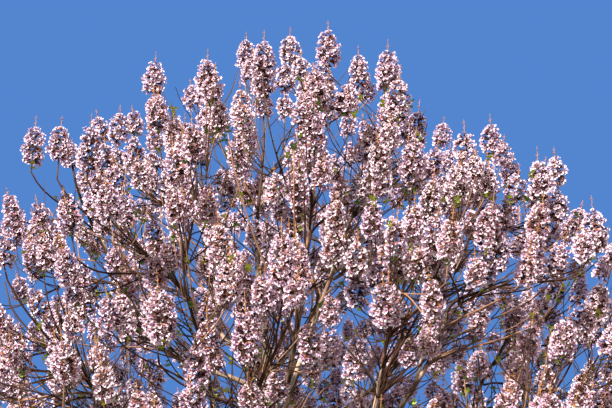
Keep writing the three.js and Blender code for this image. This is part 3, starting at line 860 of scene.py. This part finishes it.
def full_shoots():
    """Shoots to listed places and then a grid, where the picture shows the crown full and no panicle is in
    sight yet, each at the farthest distance on the line of sight that has space."""
    bearers = [*bearing_limbs, *(twig for twigs in mass_twigs for twig in twigs)]
    across, down = (np.arange(0, size + FULL_STEP, FULL_STEP) for size in PICTURE)
    grid = np.stack(np.meshgrid(across, down), axis=-1).reshape(-1, 2)
    grid = grid[grid[:, 1] > np.interp(grid[:, 0], FULL_AT, FULL_BELOW)]
    holes = [(place, HOLE_RADIUS["listed"]) for place in FULL_PLACES]
    holes += [(place, HOLE_RADIUS["grid"]) for place in grid]
    seen = seen_places(panicles)
    least, most = FULL_DEPTHS
    for place, radius in holes:
        if norm(seen - place, axis=1).min() < radius:
            continue
        for y in np.linspace(*FULL_FROM, FULL_STEPS):
            foot = seen_at(place + np.array([0, FULL_DROP]), y)
            apart = norm((np.array([taken for taken, *_ in panicles]) - foot) * SPRAY_SPACING, axis=1).min()
            if least < depth_of(foot) < most and apart > SIDE_OUT[1] and fill_shoot(foot, bearers):
                seen = np.vstack([seen, seen_places(panicles[-1:])])
                break


def darts_in(k, depths, room):
    """Random places in mass k's space, from a least depth to one for the crown's sides or its top."""
    darts = rng.uniform(-DART_REACH, DART_REACH, (FILL_DARTS, 3)) + mass_centres[k]
    least, side, top = depths
    most = np.where(darts[:, 2] < TOP_FROM, side, top)
    darts = darts[(darts[:, 2] > CROWN_BASE) & (depth_of(darts) > least) & (depth_of(darts) < most)]
    return darts[keeps_to_mass(darts, k, room)]


def fill_shoots(k, bearers):
    """Single shoots where the mass's space is still empty, the emptiest place first."""
    feet = darts_in(k, FILL_DEPTHS, 2 * SIDE_ROOM)
    taken = np.array([foot for foot, *_ in panicles if keeps_to_mass(foot, k, 0)])
    apart = norm((feet[:, None] - taken) * SPRAY_SPACING, axis=2).min(1)
    filled = 0
    while filled < FILL_PER_MASS and apart.max() > FILL_APART:
        foot = feet[apart.argmax()]
        apart[apart.argmax()] = 0
        if fill_shoot(foot, bearers, k):
            apart = np.minimum(apart, norm((feet - foot) * SPRAY_SPACING, axis=1))
            filled += 1


def bare_shoots(k, bearers, kind, arch):
    """Long shoots without flowers that arch out and up from a mass's twigs and limbs: a few leaders through
    the flowers' outer side, and fine ones all through, more the lower it is."""
    wanted = int(np.interp(k, (0, MASS_COUNT - 1), kind["count"]))
    grown = 0
    for tip in darts_in(k, kind["depths"], SIDE_ROOM):
        if grown == wanted:
            break
        forks = [fork for fork in forks_toward(tip, bearers, BARE_RULE) if fork[4] < kind["length"]]
        if not forks:
            continue
        _, limb, i, way, _ = forks[int(rng.random() ** 2 * len(forks))]
        out = unit((tip - CROWN_MIDDLE) * (1, 1, 0))
        leaving = unit(way + BARE_LINE["leaving"] * limb.along[i] + arch * out)
        curve = curve_between(limb.points[i], leaving, tip, unit(way + (BARE_LINE["arriving"] + arch) * UP))
        radius = min(kind["radii"][0], limb.radius(limb.t[i]) * WOOD_SHARE)
        bare_twigs.append((curve, radius, kind["radii"][1], len(sprays_shown) + grown // BARE_SPRAY))
        grown += 1
    sprays_shown.extend([mass_centres[k]] * (wanted // BARE_SPRAY + 1))


bearing = [TRUNK_BEARING] + [BEARING] * (len(limbs) - 1)
bearing_limbs = [
    Limb(limb.curve, BEARING_CHORDS, limb.radius, forks) for limb, forks in zip(limbs, bearing)
]
panicles = []
main_twigs = []
side_twigs = []
bare_twigs = []
sprays_shown = []
for k, twigs in enumerate(mass_twigs):
    for twig in twigs:
        foot, axis = twig.spray
        height = rng.uniform(*TOP_HEIGHT)
        top_foot = foot + (SPRAY["height"] - height) * axis
        main_twigs.append((twig, top_foot, len(sprays_shown)))
        if not stands_in_sky(foot, axis, height):
            panicles.append((top_foot, axis, height, len(sprays_shown)))
        side_shoots(twig, k, len(sprays_shown))
        sprays_shown.append(foot)
mass_bearers = [[*twigs, *limbs_in(k)] for k, twigs in enumerate(mass_twigs)]
for k, bearers in enumerate(mass_bearers):
    fill_shoots(k, bearers)
full_shoots()
for k, bearers in enumerate(mass_bearers):
    for name, kind in BARE_SHOOTS.items():
        bare_shoots(k, bearers, kind, BARE_ARCH[name])


# The shoots themselves: straight young wood, smooth and a little glossy, each sunk into the wood that it
# leaves.
# Each spray's shoots are tan as painted sunlight or dark brown as painted shade, lit and shaded copies of
# one bark.
# The tan tint is painted sunlight and the dark brown one is painted shade, on whole shoots rather than on
# their sides.
SHOOT_TINTS = {"painted_sunlit_tan": (132, 98, 77), "brown": (56, 33, 22)}
SHOOT_SURFACE = (0.62, 160, 0.0015)
SHADED_BROWN_SHARE = 0.76
TOP_TAPER = 0.75
PATH_ROWS = 9
BARE_ROWS = 7
MAIN_SIDES = 6
SIDE_SIDES = 4
BARE_SIDES = 3


def joined(skins):
    """Several meshes of points and faces as one."""
    starts = np.cumsum([0, *(len(points) for points, _ in skins[:-1])])
    faces = [own + start for (_, own), start in zip(skins, starts)]
    return np.vstack([points for points, _ in skins]), np.vstack(faces)


def shoot_piece(name, points, faces, material):
    piece = shown(name, points, faces, material, smooth=True)
    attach(piece, "root")
    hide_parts(*mass_nodes)


mass_nodes = [f"blossom_mass_{k + 1:02d}" for k in range(MASS_COUNT)]
share = np.linspace(0, 1, PATH_ROWS)
main_paths = np.array([np.vstack([twig.curve(share), top_foot]) for twig, top_foot, _ in main_twigs])
main_radii = [np.append(twig.radius(share), twig.radius(1.0) * TOP_TAPER) for twig, _, _ in main_twigs]
main_sprays = np.array([spray for *_, spray in main_twigs])
shoot_groups = [(main_paths, np.array(main_radii), main_sprays, MAIN_SIDES)]
for fine_twigs, rows, sides in ((side_twigs, PATH_ROWS, SIDE_SIDES), (bare_twigs, BARE_ROWS, BARE_SIDES)):
    share = np.linspace(0, 1, rows)
    paths = np.array([curve(share) for curve, *_ in fine_twigs])
    radii = np.array([foot + (tip - foot) * share for _, foot, tip, _ in fine_twigs])
    shoot_groups.append((paths, radii, np.array([spray for *_, spray in fine_twigs]), sides))
# Most sprays' shoots get the dark brown of painted shade, and the rest get the tan of painted sunlight, at
# random.
is_shaded_brown = rng.random(len(sprays_shown)) < SHADED_BROWN_SHARE
for tint, (name, colour) in enumerate(SHOOT_TINTS.items()):
    skins = []
    for paths, radii, sprays, sides in shoot_groups:
        own = is_shaded_brown[sprays] == tint
        skins.append(skins_over(rings_round(paths[own], radii[own], sides)))
    shoot_piece(f"shoots_{name}", *joined(skins), grained(f"shoot_{name}", colour, *SHOOT_SURFACE))


# The panicle's frame: an upright green-brown stalk with a pair of side stalks at each joint, each pair a
# quarter turn from the last. They make it an upright egg, narrower at its foot and rounded at the top.
FLOWERING = 0.69
JOINT = {"step": 0.0265, "least": 4, "first": 0.3, "swing": 0.25, "spread": (0.85, 1.12), "rise": 0.45}
PANICLE_WIDTH = {"least": 0.068, "per_height": 0.125}
PANICLE_UP = [0, 0.2, 0.6, 0.85, 1]
PANICLE_OUT = [0.78, 1, 0.88, 0.66, 0.4]
FLOWER_LENGTH = 0.051
STALK_RADII = [0.0042, 0.0042 * 0.8, 0.002]
SIDE_STALK = {"radius": 0.0022, "least": 0.01, "back": 0.9}
STALK_FINISH = ((146, 106, 62), 0.7, 300, 0.0008)

feet, axes, heights, spray_of = (np.array(column) for column in zip(*panicles))
widths = PANICLE_WIDTH["least"] + PANICLE_WIDTH["per_height"] * heights
level_one = unit(np.cross(axes, ALONG))
level_two = np.cross(axes, level_one)
spins = rng.uniform(0, 2 * np.pi, len(feet))


def ranks_in(counts):
    """For counts such as 3, 2: which group each thing is in, 0 0 0 1 1, and its rank there, 0 1 2 0 1."""
    owner = np.repeat(np.arange(len(counts)), counts)
    return owner, np.arange(len(owner)) - np.repeat(np.cumsum(counts) - counts, counts)


def outward(owner, azimuth):
    """A level direction out of a panicle's axis at an azimuth."""
    return np.cos(azimuth)[:, None] * level_one[owner] + np.sin(azimuth)[:, None] * level_two[owner]


def up_axis(owner, up):
    """The place a share up a panicle's axis."""
    return feet[owner] + (up * heights[owner])[:, None] * axes[owner]


joints = np.maximum(np.round(heights * FLOWERING / JOINT["step"]), JOINT["least"]).astype(int)
owner, rank = ranks_in(joints)
owner, rank, twin = np.repeat(owner, 2), np.repeat(rank, 2), np.tile([0, 1], len(owner))
up = (rank + JOINT["first"]) / joints[owner]
azimuth = spins[owner] + rank * np.pi / 2 + twin * np.pi + rng.normal(0, JOINT["swing"], len(owner))
spread = widths[owner] * np.interp(up, PANICLE_UP, PANICLE_OUT) * rng.uniform(*JOINT["spread"], len(owner))
reach = np.maximum(spread - SIDE_STALK["back"] * FLOWER_LENGTH, SIDE_STALK["least"])
joint = up_axis(owner, up * FLOWERING)
stalk_end = joint + reach[:, None] * unit(outward(owner, azimuth) + JOINT["rise"] * axes[owner])

stalk_paths = np.stack([feet, feet + 0.5 * heights[:, None] * axes, feet + heights[:, None] * axes], axis=1)
stalks = rings_round(stalk_paths, np.tile(STALK_RADII, (len(feet), 1)), 3)
side_radii = np.full((len(joint), 2), SIDE_STALK["radius"])
side_rings = rings_round(np.stack([joint, stalk_end], axis=1), side_radii, 3)
side_points = np.concatenate([side_rings[:, 0], stalk_end[:, None]], axis=1).reshape(-1, 3)
point_faces = np.array([[0, 1, 3], [1, 2, 3], [2, 0, 3]])
side_faces = (point_faces + 4 * np.arange(len(joint))[:, None, None]).reshape(-1, 3)
stalk_finish = grained("stalk", *STALK_FINISH)
shoot_piece("stalks", *skins_over(stalks), stalk_finish)
shoot_piece("side_stalks", side_points, side_faces, stalk_finish)


# The flowers: lilac trumpets in threes and twos at the side stalks' ends, nodding low in the panicle and
# level near its top. A tube widens from its base to five paler lobes, the two upper ones bent back further
# than the three lower ones, round a dark brown throat, and sits in a woolly golden calyx. The throat's dark
# brown is partly its own colour and partly painted shade of the tube's inside, and dark cones at the joints
# are painted shade in the panicle's core.
LOBE_TINTS = {
    "mauve": (207, 190, 210), "lilac": (209, 196, 214), "pink": (215, 198, 212), "rose": (209, 190, 205),
    "pale": (218, 206, 216),
}
TUBE_TINTS = {"deep": (171, 125, 166), "mid": (180, 136, 173), "light": (189, 148, 181)}
CALYX_TINTS = {"golden": (150, 94, 52), "brown": (114, 70, 44)}
PETAL_SURFACE = (0.55, 220)
CALYX_SURFACE = (0.85, 220)
# The throat's own brownish colour, darkened further as painted shade of the deep inside of the tube.
THROAT_AND_SHADE_FINISH = ((118, 70, 58), 0.8, 260)
# The near-black brown of the cones that are painted shade inside the panicles.
SHADE_CORE_FINISH = ((58, 28, 26), 0.7, 260)
THREE_WAYS = np.radians([90, 210, 330])
CONE_FACES = np.array([[0, 2, 1], [0, 3, 2], [0, 1, 3]])
MOUTH = {"radius": 0.24, "up": 0.68}
THROAT = {"radius": 0.22, "up": 0.56}
CALYX = {"radius": 0.22, "up": 0.24}
CALYX_BASE = -0.28
SHADE_CORE = {"radius": 0.26, "up": 0.75}
SHADE_CORE_SIZE = {"back": 0.4, "least": 0.035}
LOBE_ANGLES = np.radians([54, 126, 198, 270, 342])
LOBE_HALF = np.radians(31)
LOBE_REACH = 0.47
LOBE_UPS = {"upper": 0.76, "lower": 0.96}
FLOWERS_LOW = 4.3
FLOWERS_HIGH = 2.5
FAN = {"apart": 0.78, "swing": 0.16}
NOD = {"foot": -0.65, "rise": 0.8, "power": 1.5, "swing": 0.22, "twin": 0.3}
FLOWER = {"smaller": 0.2, "sizes": (0.9, 1.1), "seat": 0.2, "shift": 0.013}


def ring_at(angles, radius, up):
    return np.column_stack([radius * np.cos(angles), radius * np.sin(angles), up * np.ones(len(angles))])


def lobes_shape(ring):
    """One triangle for each lobe, from the middle of one side of the mouth's ring out to two corners."""
    here = np.arange(5)
    roots = (ring + np.roll(ring, -1, axis=0)) / 2
    up = np.where(here < 2, LOBE_UPS["upper"], LOBE_UPS["lower"])
    corners = [ring_at(LOBE_ANGLES + side * LOBE_HALF, LOBE_REACH, up) for side in (-1, 1)]
    return np.vstack([roots, *corners]), np.stack([here, here + 10, here + 5], axis=1)


def copies_of(shape, placed, own=slice(None)):
    """Copies of a small shape. placed has their places, axes and sizes, and own picks some of them."""
    points, faces = shape
    places, ways, sizes = (column[own] for column in placed)
    moved = places[:, None] + np.einsum("vi,nij->nvj", points, ways * sizes[:, None, None])
    stride = len(points) * np.arange(len(places))
    return moved.reshape(-1, 3), (faces + stride[:, None, None]).reshape(-1, 3)


def blossom_piece(name, points, faces, material):
    piece = shown(name, points, faces, material)
    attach(piece, "root")
    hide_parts(*mass_nodes)


def ways_for(facing, beside):
    """Three axes for things: square to beside and facing, square to that and facing, and facing."""
    aside = unit(np.cross(beside, facing))
    return np.stack([aside, np.cross(facing, aside), facing], axis=1)


def facing_ways(owner, azimuth, pitch):
    """Three axes for things that face out of their panicles at an azimuth and a pitch, with +y upward."""
    facing = np.cos(pitch)[:, None] * outward(owner, azimuth) + np.sin(pitch)[:, None] * axes[owner]
    return ways_for(facing, axes[owner])


mouth_ring = ring_at(LOBE_ANGLES - np.pi / 5, **MOUTH)
tube_faces = np.stack([np.full(5, 5), (np.arange(5) + 1) % 5, np.arange(5)], axis=1)
tube_shape = (np.vstack([mouth_ring, [0, 0, 0]]), tube_faces)
throat_shape = (ring_at(THREE_WAYS, **THROAT), np.array([[0, 1, 2]]))
calyx_shape = (np.vstack([[0, 0, CALYX_BASE], ring_at(THREE_WAYS, **CALYX)]), CONE_FACES)
shade_core_shape = (np.vstack([[0, 0, 0], ring_at(THREE_WAYS, **SHADE_CORE)]), np.vstack([CONE_FACES, [1, 2, 3]]))

mean_count = FLOWERS_LOW + (FLOWERS_HIGH - FLOWERS_LOW) * up
cyme, place_in = ranks_in(np.floor(mean_count + rng.random(len(up))).astype(int))
count = len(cyme)
in_cyme = np.bincount(cyme, minlength=len(up))[cyme]
fan = (place_in - (in_cyme - 1) / 2) * FAN["apart"]
flower_azimuth = azimuth[cyme] + fan + rng.normal(0, FAN["swing"], count)
pitch = NOD["foot"] + NOD["rise"] * up[cyme] ** NOD["power"] + rng.normal(0, NOD["swing"], count)
flower_owner = owner[cyme]
flower_ways = facing_ways(flower_owner, flower_azimuth, pitch + NOD["twin"] * (place_in % 2))
flower_size = FLOWER_LENGTH * (1 - FLOWER["smaller"] * up[cyme]) * rng.uniform(*FLOWER["sizes"], count)
flower_place = stalk_end[cyme] + FLOWER["seat"] * flower_size[:, None] * flower_ways[:, 2]
shift = rng.uniform(-FLOWER["shift"], FLOWER["shift"], count)
flower_place = flower_place + shift[:, None] * axes[flower_owner]
flowers = (flower_place, flower_ways, flower_size)
for part, shape, tints, surface in (
    ("lobes", lobes_shape(mouth_ring), LOBE_TINTS, PETAL_SURFACE),
    ("tubes", tube_shape, TUBE_TINTS, PETAL_SURFACE),
    ("calyxes", calyx_shape, CALYX_TINTS, CALYX_SURFACE),
):
    tint_of = rng.integers(len(tints), size=len(sprays_shown))[spray_of[flower_owner]]
    for tint, (name, colour) in enumerate(tints.items()):
        material = grained(f"{part}_{name}", colour, *surface)
        blossom_piece(f"{part}_{name}", *copies_of(shape, flowers, tint_of == tint), material)
# One dark triangle across each tube: painted shade of the tube's inside, over the throat's own brownish
# colour.
blossom_piece("throats_and_painted_shade", *copies_of(throat_shape, flowers), grained("throat_and_painted_shade", *THROAT_AND_SHADE_FINISH))

# Dark cones at each joint, deep inside the panicle: painted shade that stands for the shadow in the
# panicle's core and hides the sky behind it. They are not flowers.
shade_core_azimuth = azimuth + np.pi / 2 + rng.normal(0, 0.3, len(azimuth))
shade_core_ways = facing_ways(owner, shade_core_azimuth, rng.uniform(-0.3, 0.5, len(azimuth)))
shade_core_size = np.maximum(spread - SHADE_CORE_SIZE["back"] * FLOWER_LENGTH, SHADE_CORE_SIZE["least"])
shade_core = copies_of(shade_core_shape, (joint, shade_core_ways, shade_core_size))
blossom_piece("painted_shade_cores", *shade_core, grained("painted_shade_core", *SHADE_CORE_FINISH))


# The buds: above its open flowers each panicle ends in a bare spike with a few pairs of woolly
# orange-brown buds and one at the tip.
BUD_FINISH = ((158, 106, 68), 0.85, 500)
BUD_PAIRS = 3
BUD_SIZE = (0.03, 0.016)
BUD_SIZES = (0.8, 1.2)
BUD_RIM = {"radius": 0.28, "up": 0.6}
BUD_LEAN = (0.5, 1.1)

bud_shape = (
    np.vstack([[0, 0, 0], ring_at(np.radians([0, 90, 180, 270]), **BUD_RIM), [0, 0, 1]]),
    np.array([[0, 2, 1], [0, 3, 2], [0, 4, 3], [0, 1, 4], [5, 1, 2], [5, 2, 3], [5, 3, 4], [5, 4, 1]]),
)
bud_owner, bud_rank = ranks_in(np.full(len(feet), 2 * BUD_PAIRS + 1))
level = bud_rank // 2
bud_up = FLOWERING + (1 - FLOWERING) * (level + 0.35) / BUD_PAIRS
bud_azimuth = spins[bud_owner] + level * np.pi / 2 + (bud_rank % 2) * np.pi + rng.normal(0, 0.2, len(level))
bud_way = outward(bud_owner, bud_azimuth) + rng.uniform(*BUD_LEAN, len(level))[:, None] * axes[bud_owner]
bud_way = unit(bud_way)
last = level == BUD_PAIRS
bud_up[last] = 0.99
bud_way[last] = axes[bud_owner[last]]
bud_ways = ways_for(bud_way, -ALONG)
shrinking = (BUD_SIZE[1] - BUD_SIZE[0]) * np.minimum(level / BUD_PAIRS, 1)
bud_size = BUD_SIZE[0] + shrinking * rng.uniform(*BUD_SIZES, len(level))
buds = copies_of(bud_shape, (up_axis(bud_owner, bud_up), bud_ways, bud_size))
blossom_piece("buds", *buds, grained("bud", *BUD_FINISH))


# The old seed capsules: a few of last year's panicles still stand on the older shoots, each a dry brown
# stalk with pairs of pointed woody capsules.
OLD_PANICLES = 44
OLD_PLACES = (0.35, 0.75)
OLD_HEIGHT = (0.16, 0.26)
OLD_RADII = [0.004, 0.0022]
OLD_PAIRS = 4
CAPSULE_FINISH = ((98, 72, 52), 0.7, 300)
CAPSULE_SIZE = (0.034, 0.044)
CAPSULE_UP = 0.7

old_twigs = [main_twigs[i][0] for i in rng.choice(len(main_twigs), OLD_PANICLES, replace=False)]
old_feet = np.array([twig.curve(rng.uniform(*OLD_PLACES)) for twig in old_twigs])
old_axes = unit(UP + rng.uniform(-0.5, 0.5, (OLD_PANICLES, 3)) * (1, 1, 0))
old_heights = rng.uniform(*OLD_HEIGHT, OLD_PANICLES)
old_paths = np.stack([old_feet, old_feet + old_heights[:, None] * old_axes], axis=1)
old_stalks = skins_over(rings_round(old_paths, np.tile(OLD_RADII, (OLD_PANICLES, 1)), 4))
old, rank = ranks_in(np.full(OLD_PANICLES, 2 * OLD_PAIRS))
old_up = 0.3 + 0.7 * (rank // 2) / (OLD_PAIRS - 1)
old_turn = rng.uniform(0, 2 * np.pi, OLD_PANICLES)[old] + rank // 2 * np.pi / 2 + rank % 2 * np.pi
old_way = unit(ring_at(old_turn, 1, CAPSULE_UP))
old_place = old_feet[old] + (old_up * old_heights[old])[:, None] * old_axes[old]
placed = (old_place, ways_for(old_way, -UP), rng.uniform(*CAPSULE_SIZE, len(old)))
capsules = joined([copies_of(bud_shape, placed), old_stalks])
blossom_piece("capsules", *capsules, grained("capsule", *CAPSULE_FINISH))


# The young leaves: two pairs just under some panicles and at the tips of some bare shoots, small,
# heart-shaped and folded up along the midrib, in a fresh yellow-green and a deeper green.
LEAF_TINTS = {"fresh": (164, 182, 58), "deep": (98, 128, 46)}
LEAF_SURFACE = (0.5, 240)
DEEP_SHARE = 0.4
LEAFY_SHARE = 0.4
LEAFY_BARE = 0.34
LEAF_LENGTH = (0.034, 0.062)
LEAF_RISE = (0, 0.9)
PAIR_DROP = 0.035
LEAF_DROP = (0, 0.03)


def leaf_shape():
    """A folded heart along +z, +y up: a midrib from base to a drooping tip, and three points down each
    edge, raised by the fold."""
    rib = np.array([[0, 0, 0], [0, 0.02, 0.5], [0, -0.12, 1.0]])
    edge = np.array([[0.26, 0.12, -0.06], [0.42, 0.14, 0.3], [0.25, 0.06, 0.72]])
    points = np.vstack([rib, edge, edge * (-1, 1, 1)])
    half = np.array([[0, 3, 4], [0, 4, 1], [1, 4, 5], [1, 5, 2]])
    other = np.array([[0, 7, 6], [0, 1, 7], [1, 8, 7], [1, 2, 8]])
    return points, np.vstack([half, other])


leafy = rng.random(len(feet)) < LEAFY_SHARE
leafy_bare = rng.random(len(bare_twigs)) < LEAFY_BARE
bare_paths, _, bare_sprays, _ = shoot_groups[-1]
bare_tips = bare_paths[leafy_bare, -1]
leaf_foot = np.repeat(np.vstack([feet[leafy], bare_tips]), 4, axis=0)
leaf_stalk = np.repeat(np.vstack([axes[leafy], np.tile(UP, (len(bare_tips), 1))]), 4, axis=0)
leaf_spray = np.repeat(np.append(spray_of[leafy], bare_sprays[leafy_bare]), 4)
count = len(leaf_foot)
pair, twin = np.divmod(np.tile(np.arange(4), count // 4), 2)
leaf_turn = np.repeat(rng.uniform(0, 2 * np.pi, count // 4), 4) + twin * np.pi + pair * np.pi / 2
leaf_way = unit(ring_at(leaf_turn, 1, rng.uniform(*LEAF_RISE, count)))
leaf_place = leaf_foot - (PAIR_DROP * pair + rng.uniform(*LEAF_DROP, count))[:, None] * leaf_stalk
leaves = (leaf_place, ways_for(leaf_way, leaf_stalk), rng.uniform(*LEAF_LENGTH, count))
is_deep = (rng.random(len(sprays_shown)) < DEEP_SHARE)[leaf_spray]
for tint, (name, colour) in enumerate(LEAF_TINTS.items()):
    material = grained(f"leaf_{name}", colour, *LEAF_SURFACE)
    blossom_piece(f"leaves_{name}", *copies_of(leaf_shape(), leaves, is_deep == tint), material)
